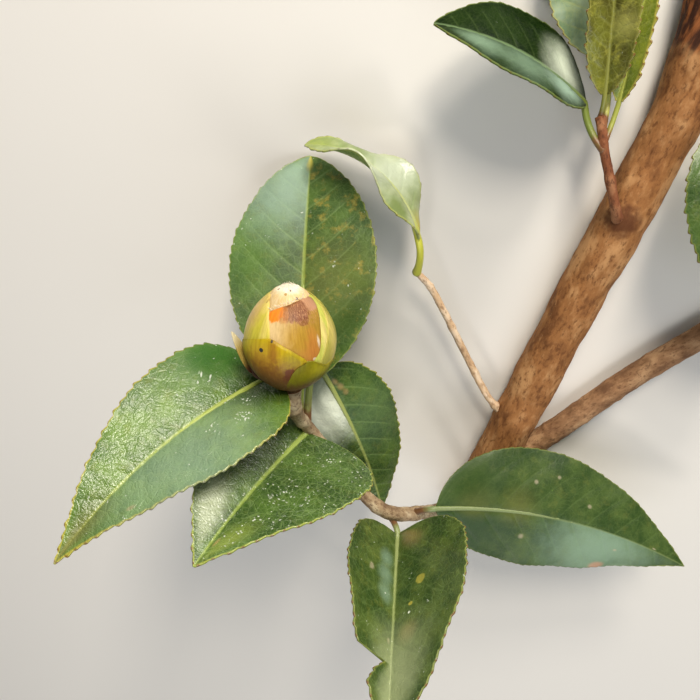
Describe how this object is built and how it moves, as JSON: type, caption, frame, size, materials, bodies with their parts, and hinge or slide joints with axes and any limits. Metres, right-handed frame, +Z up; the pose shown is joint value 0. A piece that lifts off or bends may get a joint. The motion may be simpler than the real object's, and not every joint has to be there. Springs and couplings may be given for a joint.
{
  "type": "camellia branch",
  "caption": "Cut camellia branch lying on its side, with a thick stem, side shoots, glossy toothed leaves and one swelling flower bud.",
  "frame": {"origin": "middle of the branch's box at the level that it lies on", "axes": "+Z up, +Y from the cut foot of the main stem to its cut top, +X to the side of the leaning side stem"},
  "size_m": [0.144, 0.1667, 0.0886],
  "materials": {
    "stem_bark": "matt mottled tan bark",
    "side_bark": "matt greyish tan bark",
    "shoot_bark": "matt brown-grey bark",
    "twig_bark": "smooth pale tan bark",
    "young_bark": "smooth red-brown bark",
    "leaf": "glossy dark green",
    "young_leaf": "satin yellow-green",
    "bud_scale": "satin olive with silky hairs at the tip",
    "bract": "dry straw yellow"
  },
  "bodies": {
    "root": {"main_stem": "stem_bark", "side_stem": "side_bark", "bud_shoot": "shoot_bark", "thin_twig": "twig_bark", "spray_twig": "young_bark", "edge_twig": "young_bark", "leaf_behind_bud": "leaf", "leaf_left": "leaf", "leaf_low_left": "leaf", "leaf_under_bud": "leaf", "leaf_hanging": "leaf", "leaf_right": "leaf", "leaf_thin_twig": "leaf", "leaf_spray_left": "leaf", "leaf_spray_back": "young_leaf", "leaf_spray_young": "young_leaf", "leaf_spray_narrow": "young_leaf", "leaf_edge": "leaf", "flower_bud": "bud_scale", "bract": "bract"}
  },
  "joints": []
}
